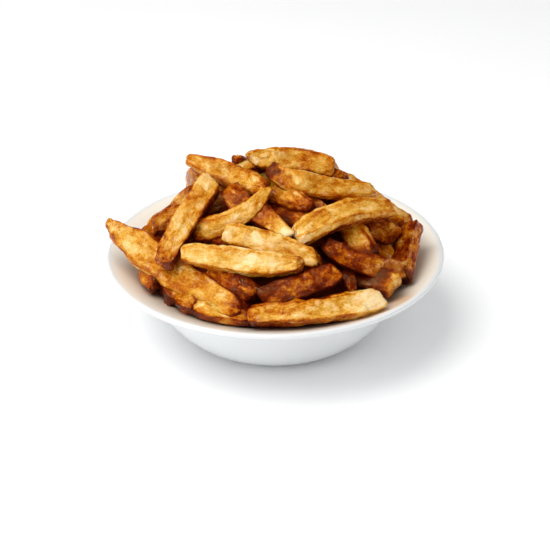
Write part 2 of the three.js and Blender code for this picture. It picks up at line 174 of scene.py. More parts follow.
# The inner fries are toned darker than the back ones as painted shade in the heap's gaps.
INNER_FRIES = {
    "seed": 11, "slots": 46, "spread": 58, "first_angle": 0.4, "foremost_slot": -90, "foremost": -90,
    "reach": 66, "tries": 30, "length": (28, 48), "width": (9, 11.5), "sink": (12, 22),
    "first_fry_seed": 9000, "tone": (0.5, 0.8),
}
GOLDEN_ANGLE = math.pi * (3 - math.sqrt(5))
SLOT_SHIFT = 5
THICK_SHARE = (0.78, 1)  # of the width
TAPER = (0.9, 1, 0.85)  # of the width, at the start, middle and end
BOW = (-2.5, 2.5)
LEAN = (-35, 35)
FOLLOW_OUTLINE = 0.4  # how far a fry's ends follow the heap's outline
FRONT_SHARE = 0.9  # of the distance at which two fries touch, kept from the front fries
SINK_WORTH = 0.9
GAP_COST = 2
LIFT_COST = 0.5
MAX_LIFT = 3  # a fry that the bowl would raise further isn't laid
TONE_SPREAD = (0, 0.2)  # by which a loose fry's ends are darker than its middle
BACK_SIDES = 48
BACK_SPACING = 1.25  # of the front fries' ring spacing
INNER_SIDES = 32
INNER_SPACING = 2

# ---- Shape of a fry's bar, in mm ----
LENGTH_SAMPLES = 50
END_ROUNDING = 1.9  # radius of the edge round a cut end
END_RINGS = 5
CAP_RINGS = 6
CAP_START = 0.06  # of the section, in the middle of a cut end
FEWEST_RINGS = 4  # between the ends
WAVER = 0.09  # share by which the width and the thickness vary along a fry
WAVER_LENGTH = 13
STROKE_LENGTH = 14  # along which a knife stroke wanders
STROKE_TILT = (-8, 8)  # degrees by which a cut face is out of square
STROKE_TWIST = math.radians(4)
STROKE_WAVER = 0.07
PARED_SHARE = 0.5  # of the corners
PARED_TILT = (-14, 14)
PARED_TWIST = math.radians(6)
PARED_WAVER = 0.05
PARED_TO = (0.78, 0.93)  # of the distance from the middle to the corner
EDGE_POWER = 13  # higher is sharper edges
EDGE_BAND = (0.86, 0.99)  # how evenly two strokes press where the edge between them shows
RIM_BAND = (0.62, 1)  # the same for the soft band along the edge
NIB_LENGTH = (3, 8)  # over how much of each end a fry narrows
NIB_WIDTH = (0, 0.3)  # and by how much of its width
NIB_THICK = (0, 0.26)
END_BEND = 5  # over how much of each end it is shifted and cut aslant
END_SHIFT = (-1, 1)
END_SLANT = (-0.45, 0.45)
END_BROWNING = (0.3, 1)
BROWNED_LENGTH = (2.5, 6)

# ---- Relief of a fry's skin: heights and depths in mm, before the relief setting ----
LUMP_HEIGHT = 0.45
DENT_DEPTH = 0.55
CELL_HEIGHT = 0.12  # of a cell of skin in its middle
CREASE_DEPTH = 0.12  # between two cells
WRINKLE_DEPTH = 0.32
FOLD_DEPTH = 0.45
GRIT_HEIGHT = 0.2  # of the small cells where the skin is fried rough
EDGE_HEIGHT = 0.22
CRUST_HEIGHT = 0.3
BLISTER_AREA = 60  # mm2 of skin for each
BLISTER_RADIUS = (0.9, 2.1)
BLISTER_HEIGHT = (0.15, 0.45)
PIT_AREA = 50
PIT_RADIUS = (0.45, 1.0)
PIT_DEPTH = (0.3, 0.8)

# ---- How dark the skin is, on the scale of the table's tones ----
DARKEST = 1.35  # a burnt tip
SIDE_BROWNING_AND_SHADE = (0.04, 0.38)  # of a fry's sides turned up and down, over its wide face; partly browning, partly painted shade
UNDERSIDE_TONE = 0.2
OVERALL_TONE = -0.13
EDGE_TONE = 0.32
RIM_TONE = 0.1
CRUST_TONE = 0.42
PIT_TONE = 0.3
GRIT_TONE = 0.1
CREASE_TONE = (0.16, -0.12)  # on pale skin, and what dark skin adds
PAINTED_SHADE_TONE = (0.4, -0.2)  # painted shade deep in the heap and near other fries: on pale skin, and what dark skin adds
MOTTLING = (0.8, 0.7)  # strength on pale skin, and what dark skin adds
PAINTED_SHADE_DEPTH = (10, 32)  # mm under the heap's outline, over which the painted shade comes in

# ---- Shade between fries ----
SHADE_REACH = 22  # mm
SHADE_RISE = (-0.5, 0.6)  # how far overhead a fry is where it starts to shade, and where it does fully
SAMPLE_SHADE = 0.8  # of the light that a fry's sample of the same size takes

# ---- Stage, in metres ----
FLOOR_SIZE = 6
FLOOR_DROP = 0.0001
FLOOR_SHADE = 0.985

# Each light's name, place, size, setting for its power, colour, and the rays that don't see it. The
# broad lights stay out of reflections and the small ones make only glints, so that the skin looks
# wet and not dusty.
LIGHTS = (
    ("key_light", (-0.39, -0.2, 1.0), 0.9, "key_power", (1, 0.99, 0.97), "visible_glossy"),
    ("fill_light", (-0.85, -0.55, 0.4), 0.8, "fill_power", (0.98, 0.99, 1), "visible_glossy"),
    ("side_light", (0.8, -0.35, 0.55), 0.8, "side_power", (1, 1, 1), "visible_glossy"),
    ("spark_light", (-0.4, -0.12, 1.0), 0.24, "spark_power", (1, 0.97, 0.9), "visible_diffuse"),
    ("sheen_light", (-0.12, -0.78, 0.9), 0.08, "sheen_power", (1, 0.98, 0.93), "visible_diffuse"),
)

# ---- Camera ----
CAMERA_DISTANCE = 750  # mm
CAMERA_TILT = 29.23  # degrees over the horizon
CAMERA_ROLL = 0.735  # degrees
CAMERA_TARGET = (-0.25, 0, 26.73)  # mm
LENS = 99.12
SENSOR = 36


def linear(red, green, blue):
    """A colour given as 0 to 255 on screen, as the light it stands for."""
    steps = [value / 255 for value in (red, green, blue)]
    return [v / 12.92 if v <= 0.04045 else ((v + 0.055) / 1.055) ** 2.4 for v in steps] + [1]


# ---- Outlines shared by the bowl and the heap ----
def curve_points(start, first_handle, last_handle, end, steps):
    t = np.linspace(0, 1, steps + 1)[:, None]
    points = [np.array(p, float) for p in (start, first_handle, last_handle, end)]
    weights = ((1 - t) ** 3, 3 * t * (1 - t) ** 2, 3 * t * t * (1 - t), t ** 3)
    return sum(w * p for w, p in zip(weights, points))


def inside_profile(steps):
    """Radius and height from the middle of the bowl's floor out to the lip."""
    wall = curve_points(FLOOR, *WALL_HANDLES, MOUTH, steps)
    turn = (MOUTH[0] + MOUTH_TURN[0], MOUTH[1] + MOUTH_TURN[1])
    return np.vstack([(0, FLOOR[1]), wall, turn, FLANGE_START, FLANGE_END])


INSIDE = inside_profile(MEASURED_STEPS)


def inside_height(radius):
    return np.interp(radius, INSIDE[:, 0], INSIDE[:, 1])


def outline_height(x, y):
    """Height of the heap's smooth outline over the table."""
    dx = x - HEAP_MIDDLE[0]
    dy = y - HEAP_MIDDLE[1]
    dy = np.where(dy > 0, dy * HEAP_BACK_STEEPNESS, dy)
    return RIM_HEIGHT + HEAP_RISE * (1 - (np.hypot(dx, dy) / HEAP_RADIUS) ** HEAP_FLATNESS)


# ---- One fry's middle line ----
def spine_points(spine, t):
    start, middle, end = np.array(spine, float)
    t = np.asarray(t, float)[..., None]
    return 2 * (t - 0.5) * (t - 1) * start + 4 * t * (1 - t) * middle + 2 * t * (t - 0.5) * end


def spine_directions(spine, t):
    start, middle, end = np.array(spine, float)
    t = np.asarray(t, float)[..., None]
    along = (4 * t - 3) * start + (4 - 8 * t) * middle + (4 * t - 1) * end
    return along / np.linalg.norm(along, axis=-1, keepdims=True)


def three_way(values, t):
    """A value along a fry, on a parabola from each end's to the middle's."""
    start, middle, end = values
    from_end = np.where(t < 0.5, start, end)
    return from_end + (middle - from_end) * (1 - (1 - 2 * np.minimum(t, 1 - t)) ** 2)


def fry(seed, start, middle, end, wide, thick, lean, side, tone):
    spine = (start, middle, end)
    return {
        "seed": seed, "spine": spine, "wide": wide, "thick": thick, "lean": lean, "side": side,
        "tone": tone, "points": spine_points(spine, np.linspace(0, 1, SAMPLES)),
        "radius": (wide[1] + thick) / 4,
    }


# ---- The fries laid by rule ----
class Draws:
    """Seeded random numbers, the same on every run."""

    FACTOR = 1664525
    STEP = 1013904223
    RANGE = 2 ** 32

    def __init__(self, seed):
        self.state = seed

    def between(self, low, high):
        self.state = (self.state * self.FACTOR + self.STEP) % self.RANGE
        return low + (high - low) * self.state / self.RANGE


def lift_over_bowl(points, clearance):
    needed = inside_height(np.hypot(points[:, 0], points[:, 1])) + clearance - points[:, 2]
    return max(0, needed.max())


def draw_fry(kind, slot_x, slot_y, draws):
    x = slot_x + draws.between(-SLOT_SHIFT, SLOT_SHIFT)
    y = slot_y + draws.between(-SLOT_SHIFT, SLOT_SHIFT)
    heading = draws.between(0, math.pi)
    length = draws.between(*kind["length"])
    width = draws.between(*kind["width"])
    thick = width * draws.between(*THICK_SHARE)
    bow = draws.between(*BOW)
    lean = draws.between(*LEAN)
    sink = draws.between(*kind["sink"])
    c, s = math.cos(heading), math.sin(heading)
    half = length / 2
    rise = outline_height(x + c * half, y + s * half) - outline_height(x - c * half, y - s * half)
    slope = rise / length
    reach = half / math.hypot(1, slope)
    middle_z = outline_height(x, y) - sink
    spine = []
    for end in (-1, 0, 1):
        sideways = bow if end == 0 else 0
        px = x + end * c * reach - s * sideways
        py = y + end * s * reach + c * sideways
        straight = middle_z + end * slope * reach
        bent = outline_height(px, py) - sink
        spine.append([px, py, straight + (bent - straight) * FOLLOW_OUTLINE])
    lift = lift_over_bowl(spine_points(spine, np.linspace(0, 1, SAMPLES)), width / 2 + OVER_BOWL)
    lifted = [(px, py, pz + lift) for px, py, pz in spine]
    made = fry(0, *lifted, [width * share for share in TAPER], thick, lean, 0, None)
    made.update(sink=sink, lift=lift)
    return made


def fits_heap(made, kind, front_points, front_radii):
    points, radius = made["points"], made["radius"]
    off_bowl = np.hypot(points[:, 0], points[:, 1]).max() > kind["reach"]
    if made["lift"] > MAX_LIFT or off_bowl or points[:, 1].min() < kind["foremost"]:
        return False
    seen_height = math.cos(VIEW_TILT) * (points[:, 2] + radius) + math.sin(VIEW_TILT) * points[:, 1]
    limit_x, limit_height = zip(*SKYLINE)
    if (seen_height > np.interp(points[:, 0], limit_x, limit_height)).any():
        return False
    apart = np.hypot(*(points[:, None, :2] - front_points[None, :, :2]).transpose(2, 0, 1))
    over = points[:, None, 2] > front_points[None, :, 2] - UNDER_FRONT
    return not ((apart < (radius + front_radii) * FRONT_SHARE) & over).any()


def cost(made, all_points, all_radii):
    """The lower, the better: overlap with the fries there, a gap to the nearest, a raised place."""
    gaps = np.linalg.norm(made["points"][:, None] - all_points[None], axis=2) - made["radius"] - all_radii
    overlap = np.maximum(0, -gaps).sum()
    return overlap + max(0, gaps.min()) * GAP_COST + made["lift"] * LIFT_COST - made["sink"] * SINK_WORTH


def gathered(fries):
    return np.vstack([f["points"] for f in fries]), np.repeat([f["radius"] for f in fries], SAMPLES)


def lay_by_rule(kind, front, placed):
    draws = Draws(kind["seed"])
    front_points, front_radii = gathered(front)
    added = []
    for slot in range(kind["slots"]):
        angle = kind["first_angle"] + slot * GOLDEN_ANGLE
        radius = kind["spread"] * math.sqrt((slot + 0.5) / kind["slots"])
        x, y = radius * math.cos(angle), radius * math.sin(angle)
        if y < kind["foremost_slot"]:
            continue
        drawn = [draw_fry(kind, x, y, draws) for _ in range(kind["tries"])]
        fitting = [f for f in drawn if fits_heap(f, kind, front_points, front_radii)]
        if fitting:
            there = gathered(placed + added)
            added.append(min(fitting, key=lambda f: cost(f, *there)))
    return added


def placed_fries(rows, first_seed):
    return [fry(first_seed + SEED_STEP * number, *row[1:]) for number, row in enumerate(rows)]


def front_fries():
    return placed_fries(FRONT_FRIES, FRONT_SEED)


def toned(laid, kind):
    """Gives fries laid by rule their seeds, and how dark each is at its start, middle and end."""
    for number, made in enumerate(laid):
        made["seed"] = kind["first_fry_seed"] + SEED_STEP * number
        rng = np.random.default_rng(made["seed"])
        middle = rng.uniform(*kind["tone"])
        made["tone"] = (middle + rng.uniform(*TONE_SPREAD), middle, middle + rng.uniform(*TONE_SPREAD))
    return laid


# ---- Smooth seeded noise for relief ----
def lattice(cell, seed):
    """A fixed number from -1 to 1 for each cell, mixed from its place and the seed."""
    mixed = cell @ np.array([374761393, 668265263, 1442695041]) + seed * 974634777
    mixed = mixed & 0xFFFFFFFF
    mixed = ((mixed ^ (mixed >> 13)) * 1274126177) & 0xFFFFFFFF
    return ((mixed ^ (mixed >> 16)) & 0xFFFF) / 32767.5 - 1


def noise(points, seed):
    """Value noise from -1 to 1 over points whose last axis is x, y and z in noise cells."""
    cell = np.floor(points).astype(np.int64)
    inside = points - cell
    smooth = inside * inside * (3 - 2 * inside)
    total = 0
    for corner in itertools.product((0, 1), repeat=3):
        share = np.prod(np.where(corner, smooth, 1 - smooth), axis=-1)
        total = total + share * lattice(cell + np.array(corner), seed)
    return total


def fade(value, low, high):
    """0 below low, 1 above high, and smooth between."""
    t = np.clip((value - low) / (high - low), 0, 1)
    return t * t * (3 - 2 * t)


def crowding(places, outward, points, radii):
    """How much of the light over each place the fries around it take, from 0 to 1."""
    lowest = places.min(0) - SHADE_REACH
    highest = places.max(0) + SHADE_REACH
    near = ((points > lowest) & (points < highest)).all(1)
    away = points[None, near] - places[:, None]
    apart = np.linalg.norm(away, axis=2)
    facing = np.clip(np.einsum("vpk,vk->vp", away, outward) / apart, 0, 1)
    share = facing * fade(away[..., 2] / apart, *SHADE_RISE) * np.minimum(1, (radii[near] / apart) ** 2)
    return np.minimum(1, SAMPLE_SHADE * share.sum(1))


# ---- One fry's surface ----
def scattered(points, seed):
    """Distances to the nearest and second nearest of scattered points, and the nearest one's number."""
    cell = np.floor(points).astype(np.int64)
    first = np.full(points.shape[:-1], 9.0)
    second = first.copy()
    mark = np.zeros(points.shape[:-1])
    for step in itertools.product((-1, 0, 1), repeat=3):
        near = cell + np.array(step)
        place = near + 0.5 + 0.42 * np.stack([lattice(near, seed + k) for k in range(3)], -1)
        apart = np.linalg.norm(points - place, axis=-1)
        closer = apart < first
        second = np.where(closer, first, np.minimum(second, apart))
        mark = np.where(closer, lattice(near, seed + 3), mark)
        first = np.where(closer, apart, first)
    return first, second, mark


def ring_places(length, size, spacing):
    """How far each ring stands along the fry and how much of the section it has, caps included."""
    shrink = END_ROUNDING / (size / 2)
    turns = np.linspace(math.pi / 2, 0, END_RINGS, endpoint=False)
    cap = np.linspace(CAP_START, 1 - shrink, CAP_RINGS, endpoint=False)
    start_places = np.concatenate([np.zeros(CAP_RINGS), END_ROUNDING * (1 - np.sin(turns))])
    start_shares = np.concatenate([cap, 1 - shrink * (1 - np.cos(turns))])
    count = max(FEWEST_RINGS, int((length - 2 * END_ROUNDING) / spacing))
    middle = np.linspace(END_ROUNDING, length - END_ROUNDING, count)
    places = np.concatenate([start_places, middle, length - start_places[::-1]])
    shares = np.concatenate([start_shares, np.ones(count), start_shares[::-1]])
    return places, shares


def along_fry(places, length):
    """Noise places that change only along the fry."""
    return np.stack([places / length, 0 * places, 0 * places], -1)


def cut_section(half_width, half_thick, places, sides, seed, rng):
    """Points round each ring of a bar cut with four knife strokes and a few corners pared off.

    Returns the points, how much each belongs to each of the four strokes, and whether it lies on an
    edge between two strokes, once sharply and once softly.
    """
    turn = np.arange(sides) / sides * 4
    quarter = np.floor(turn)
    angle = quarter * math.pi / 2 + np.arctan(2 * (turn - quarter) - 1)
    outward = np.stack([half_width[:, None] * np.cos(angle), half_thick[:, None] * np.sin(angle)], -1)
    row = along_fry(places, STROKE_LENGTH)
    strokes = []
    for k in range(4):
        tilt = math.radians(90 * k + rng.uniform(*STROKE_TILT)) + STROKE_TWIST * noise(row, seed + k)
        reach = (half_width, half_thick)[k % 2] * (1 + STROKE_WAVER * noise(row * 1.4, seed + 10 + k))
        strokes.append((tilt, reach))
    for k in range(4):
        if rng.uniform() < PARED_SHARE:
            turned_by = math.radians(90 * k + 45 + rng.uniform(*PARED_TILT))
            tilt = turned_by + PARED_TWIST * noise(row, seed + 20 + k)
            corner = np.abs(np.cos(tilt)) * half_width + np.abs(np.sin(tilt)) * half_thick
            kept = rng.uniform(*PARED_TO) + PARED_WAVER * noise(row * 1.4, seed + 30 + k)
            strokes.append((tilt, corner * kept))
    pressed = []
    for tilt, reach in strokes:
        along = outward[..., 0] * np.cos(tilt)[:, None] + outward[..., 1] * np.sin(tilt)[:, None]
        pressed.append(np.maximum(along / reach[:, None], 0))
    pressed = np.stack(pressed, -1)
    powered = pressed ** EDGE_POWER
    total = powered.sum(-1, keepdims=True)
    points = outward * total ** (-1 / EDGE_POWER)
    ranked = np.sort(pressed, -1)
    closeness = ranked[..., -2] / ranked[..., -1]
    return points, powered[..., :4] / total, fade(closeness, *EDGE_BAND), fade(closeness, *RIM_BAND)


def bumps(points, number, size, height, rng):
    """Small round rises, each with a soft edge, scattered over the surface."""
    relief = np.zeros(points.shape[:2])
    flat = points.reshape(-1, 3)
    for _ in range(number):
        centre = flat[rng.integers(len(flat))]
        apart = np.linalg.norm(points - centre, axis=2) / rng.uniform(*size)
        relief += rng.uniform(*height) * np.exp(-apart ** 3)
    return relief


def straight_bar(made, length, spacing, sides, rng):
    """A fry's bar laid along Z: its points and normals in rings, and what its skin is made from."""
    seed = made["seed"]
    places, shares = ring_places(length, min(*made["wide"], made["thick"]), spacing)
    t = places / length
    row = along_fry(places, WAVER_LENGTH)
    half_width = three_way(made["wide"], t) / 2 * (1 + WAVER * noise(row, seed + 1))
    half_thick = made["thick"] / 2 * (1 + WAVER * noise(row * 1.3, seed + 2))
    browned = np.zeros_like(places)
    shift, slant_x, slant_y = 0, 0, 0
    for from_end in (places, length - places):
        reach = rng.uniform(*NIB_LENGTH)
        half_width = half_width * (1 - rng.uniform(*NIB_WIDTH) * np.exp(-(from_end / reach) ** 2))
        half_thick = half_thick * (1 - rng.uniform(*NIB_THICK) * np.exp(-(from_end / reach) ** 2))
        near = np.exp(-from_end / END_BEND)
        shift = shift + rng.uniform(*END_SHIFT) * near
        slant_x = slant_x + rng.uniform(*END_SLANT) * near
        slant_y = slant_y + rng.uniform(*END_SLANT) * near
        browned += rng.uniform(*END_BROWNING) * np.exp(-from_end / rng.uniform(*BROWNED_LENGTH))
    flat, strokes, edge, rim = cut_section(half_width, half_thick, places, sides, seed + 100, rng)
    flat = flat * shares[:, None, None]
    x = flat[..., 0] + shift[:, None]
    y = flat[..., 1]
    z = places[:, None] + slant_x[:, None] * x + slant_y[:, None] * y
    points = np.stack([x, y, z], -1)
    normals = np.cross(np.roll(points, -1, 1) - np.roll(points, 1, 1), np.gradient(points, axis=0))
    normals /= np.maximum(np.linalg.norm(normals, axis=2, keepdims=True), 1e-9)
    return {
        "points": points, "normals": normals, "shares": shares[:, None], "strokes": strokes,
        "edge": edge, "rim": rim, "crust": np.repeat(np.minimum(1, browned)[:, None], sides, 1),
        "browned": np.repeat(browned[:, None], sides, 1),
        "tone": three_way(made["tone"][:3], np.clip(t, 0, 1))[:, None],
    }


def skin_relief(bar, seed, area, rng):
    """Relief over the bar's surface in mm, and how much it darkens or pales the skin.

    It is made of dents, cells of skin with creases between them, wrinkles, folds, blisters and pits.
    """
    points, tone, edge = bar["points"], bar["tone"], bar["edge"]
    warp = np.stack([noise(points / 5, seed + 200 + k) for k in range(3)], -1)
    dents = fade(noise(points / (7, 7, 11), seed + 3), 0, 0.7)
    lumps = noise(points / (4.5, 4.5, 7), seed + 4)
    patches = noise((points + warp) / (4.5, 4.5, 7), seed + 17) + 0.6 * noise(points / (2, 2, 3), seed + 18)
    first, second, mark = scattered((points + 1.3 * warp) / (3.3, 3.3, 5), seed + 5)
    crease = np.exp(-((second - first) / 0.2) ** 2) * fade(noise(points / 8, seed + 6), -0.5, 0.4)
    ridges = noise((points + 1.5 * warp) / (1.5, 1.5, 5), seed + 7)
    wrinkle = (1 - np.abs(ridges)) ** 6 * fade(noise(points / (6, 6, 11), seed + 8), -0.3, 0.5)
    fold = (1 - np.abs(noise((points + 2.2 * warp) / (2.6, 2.6, 11), seed + 15))) ** 5
    fold *= fade(noise(points / (9, 9, 14), seed + 16), -0.3, 0.5)
    grit, _, grit_mark = scattered((points + 0.5 * warp) / 1.6, seed + 9)
    blisters = bumps(points, int(area / BLISTER_AREA), BLISTER_RADIUS, BLISTER_HEIGHT, rng)
    pits = bumps(points, int(area / PIT_AREA), PIT_RADIUS, PIT_DEPTH, rng)
    pits *= np.minimum(1, 0.15 + bar["browned"])
    rough = fade(tone + 0.6 * bar["browned"], 0.35, 0.9)

    relief = LUMP_HEIGHT * lumps - DENT_DEPTH * dents + CELL_HEIGHT * (0.5 - first ** 2)
    relief -= CREASE_DEPTH * crease
    relief -= WRINKLE_DEPTH * wrinkle + FOLD_DEPTH * fold
    relief += GRIT_HEIGHT * rough * (0.4 - grit) + blisters - pits
    relief += EDGE_HEIGHT * edge * fade(noise(points / (3, 3, 5), seed + 12), -0.3, 0.6)
    relief += CRUST_HEIGHT * bar["crust"] * noise(points / 1.2, seed + 13)

    dark = np.clip(tone, 0, 1)
    shading = (CREASE_TONE[0] + CREASE_TONE[1] * tone) * crease + PIT_TONE * pits
    mottling = 0.1 * wrinkle + 0.14 * fold - 0.11 * mark - 0.08 * lumps + 0.14 * patches
    shading += mottling * (MOTTLING[0] + MOTTLING[1] * dark) + GRIT_TONE * rough * grit_mark
    cells = (1 - fade(first, 0.25, 0.7)) * fade(mark, -0.3, 0.5)
    return relief, shading, cells


def laid_along(made, points, length):
    """Where the bar's points come to lie along the fry's spine, and the bar's three directions there."""
    z = np.clip(points[..., 2], 0, length)
    place = z / length
    direction = spine_directions(made["spine"], place)
    lean, side = math.radians(made["lean"]), math.radians(made["side"])
    face = np.array([math.sin(side), -math.sin(lean) * math.cos(side), math.cos(lean) * math.cos(side)])
    through = face - direction * (direction @ face)[..., None]
    through /= np.linalg.norm(through, axis=-1, keepdims=True)
    across = np.cross(direction, through)
    world = spine_points(made["spine"], place) + across * points[..., :1] + through * points[..., 1:2]
    world += direction * (points[..., 2] - z)[..., None]
    return world, (across, through, direction)


def fry_surface(made, neighbours, spacing, sides, relief_scale):
    """Vertices in mm, quads and end faces, and the per-vertex looks of one fry."""
    seed = made["seed"]
    rng = np.random.default_rng(seed)
    spine = spine_points(made["spine"], np.linspace(0, 1, LENGTH_SAMPLES))
    length = np.linalg.norm(np.diff(spine, axis=0), axis=1).sum()
    bar = straight_bar(made, length, spacing, sides, rng)
    tone, edge, crust, normals = bar["tone"], bar["edge"], bar["crust"], bar["normals"]
    area = length * (made["wide"][1] + made["thick"]) * 2
    relief, shading, cells = skin_relief(bar, seed, area, rng)
    relief *= np.minimum(1, bar["shares"] * 1.2) * relief_scale
    points = bar["points"] + normals * relief[..., None]
    world, axes = laid_along(made, points, length)

    # The side turned up gets the paler tone and the side turned down the darker: partly browning, partly
    # painted shade.
    upper, lower = made["tone"][3:] or SIDE_BROWNING_AND_SHADE
    if axes[0][..., 2].mean() < 0:
        upper, lower = lower, upper
    outward = sum(axis * normals[..., k:k + 1] for k, axis in enumerate(axes))
    # Painted shade: the skin is darkened deep under the heap's outline and where the fries around it take the
    # light over it.
    painted_shade = fade(outline_height(world[..., 0], world[..., 1]) - world[..., 2], *PAINTED_SHADE_DEPTH)
    crowded_shade = crowding(world.reshape(-1, 3), outward.reshape(-1, 3), *neighbours)
    painted_shade = painted_shade + crowded_shade.reshape(painted_shade.shape)
    broken = 0.5 + 0.5 * noise(points / (3, 3, 6), seed + 14)
    fried = tone + bar["strokes"] @ np.array([upper, 0, lower, UNDERSIDE_TONE])
    fried += EDGE_TONE * edge * broken + CRUST_TONE * crust * (0.35 + tone)
    fried += (PAINTED_SHADE_TONE[0] + PAINTED_SHADE_TONE[1] * np.clip(tone, 0, 1)) * painted_shade
    fried += RIM_TONE * bar["rim"] + OVERALL_TONE + shading
    pale = cells * (1 - edge) * fade(0.8 - fried, 0, 0.7) * (1 - crust)
    looks = {
        "fried": fried.ravel(), "pale": pale.ravel(),
        "grain": points.reshape(-1, 3) + rng.uniform(0, 400, 3),
    }
    index, _, quads = ring_quads(*points.shape[:2])
    return world.reshape(-1, 3), quads, [index[0][::-1], index[-1]], looks


# ---- Meshes ----
def ring_quads(rings, sides):
    """Numbers of the points in each ring, the next ones round it, and the quads between the rings."""
    index = np.arange(rings * sides).reshape(rings, sides)
    onward = np.roll(index, -1, 1)
    quads = np.stack([index[:-1], onward[:-1], onward[1:], index[1:]], -1).reshape(-1, 4)
    return index, onward, quads


def joined_fries(fries, others, spacing, sides, relief_scale):
    """Many fries as one list of vertices and faces, with their looks side by side."""
    vertices, faces, looks = [], [], {}
    start = 0
    for made in fries:
        neighbours = gathered([f for f in fries + others if f is not made])
        points, quads, caps, own = fry_surface(made, neighbours, spacing, sides, relief_scale)
        faces += (quads + start).tolist() + [(cap + start).tolist() for cap in caps]
        vertices.append(points)
        for key, values in own.items():
            looks.setdefault(key, []).append(values)
        start += len(points)
    return np.vstack(vertices), faces, {key: np.concatenate(v) for key, v in looks.items()}


def mesh_object(name, vertices, faces, material, looks=None):
    mesh = bpy.data.meshes.new(name)
    mesh.from_pydata((vertices * MM).tolist(), [], faces)
    for key, values in (looks or {}).items():
        kind, field = ("FLOAT_VECTOR", "vector") if values.ndim == 2 else ("FLOAT", "value")
        layer = mesh.attributes.new(key, kind, "POINT")
        layer.data.foreach_set(field, values.astype(np.float32).ravel())
    mesh.polygons.foreach_set("use_smooth", [True] * len(mesh.polygons))
    mesh.materials.append(material)
    mesh.update()
    piece = bpy.data.objects.new(name, mesh)
    bpy.context.scene.collection.objects.link(piece)
    return piece


def stands_for(piece, node):
    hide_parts(node)
    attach(piece, BODY)
    return piece


def add_fries(context, name, fries, others, sides, spacing=1):
    """One piece of the given fries, with rings at so many times the usual spacing."""
    settings = context.scene.fries
    rings_apart = settings.spacing / MM * spacing
    vertices, faces, looks = joined_fries(fries, others, rings_apart, sides, settings.relief)
    skin = bpy.data.materials.get("fry_skin") or fried_potato(settings)
    return stands_for(mesh_object(name, vertices, faces, skin, looks), "fries")


# ---- Materials ----
class Nodes:
    """Short calls for building a material's nodes."""

    def __init__(self, name):
        self.material = bpy.data.materials.new(name)
        self.material.use_nodes = True
        self.tree = self.material.node_tree
        self.tree.nodes.clear()
        self.shader = self.add("ShaderNodeBsdfPrincipled")
        output = self.add("ShaderNodeOutputMaterial")
        self.tree.links.new(self.shader.outputs["BSDF"], output.inputs["Surface"])

    def add(self, kind, **settings):
        made = self.tree.nodes.new(kind)
        for key, value in settings.items():
            setattr(made, key, value)
        return made

    def put(self, socket, value):
        """Links an output to the socket, or sets it to a plain value."""
        if isinstance(value, bpy.types.NodeSocket):
            self.tree.links.new(value, socket)
        else:
            socket.default_value = value

    def feed(self, node, **values):
        for name, value in values.items():
            self.put(node.inputs[name], value)

    def surface(self, name, value):
        self.put(self.shader.inputs[name], value)

    def attribute(self, name):
        return self.add("ShaderNodeAttribute", attribute_name=name)

    def math(self, operation, first, second=0.0, third=0.0):
        made = self.add("ShaderNodeMath", operation=operation)
        for socket, value in zip(made.inputs, (first, second, third)):
            self.put(socket, value)
        return made.outputs[0]

    def swayed(self, value, by, amount):
        """The value, raised and lowered by a noise round the noise's middle."""
        return self.math("MULTIPLY_ADD", self.math("SUBTRACT", by, 0.5), amount, value)

    def noise(self, vector, scale, detail=2.0, roughness=0.5, distortion=0.0, along=None):
        """Noise over the vector, which is first squeezed along its Z by so much where that is given."""
        if along is not None:
            squeezed = self.add("ShaderNodeMapping")
            self.feed(squeezed, Vector=vector, Scale=(1, 1, along))
            vector = squeezed.outputs[0]
        made = self.add("ShaderNodeTexNoise")
        self.feed(made, Vector=vector, Scale=scale, Detail=detail, Roughness=roughness, Distortion=distortion)
        return made.outputs["Fac"]

    def between(self, value, low, high, to_low=0.0, to_high=1.0):
        made = self.add("ShaderNodeMapRange", interpolation_type="SMOOTHSTEP")
        for socket, item in zip(made.inputs, (value, low, high, to_low, to_high)):
            self.put(socket, item)
        return made.outputs[0]

    def ramp(self, factor, stops):
        made = self.add("ShaderNodeValToRGB")
        self.put(made.inputs["Fac"], factor)
        elements = made.color_ramp.elements
        elements.remove(elements[-1])
        elements[0].position, elements[0].color = stops[0]
        for position, color in stops[1:]:
            elements.new(position).color = color
        return made.outputs["Color"]

    def mix(self, factor, first, second):
        made = self.add("ShaderNodeMix", data_type="RGBA")
        self.put(made.inputs["Factor"], factor)
        self.put(made.inputs[6], first)
        self.put(made.inputs[7], second)
        return made.outputs[2]

    def bump(self, height, distance, strength):
        made = self.add("ShaderNodeBump")
        self.feed(made, Height=height, Distance=distance, Strength=strength)
        self.surface("Normal", made.outputs["Normal"])


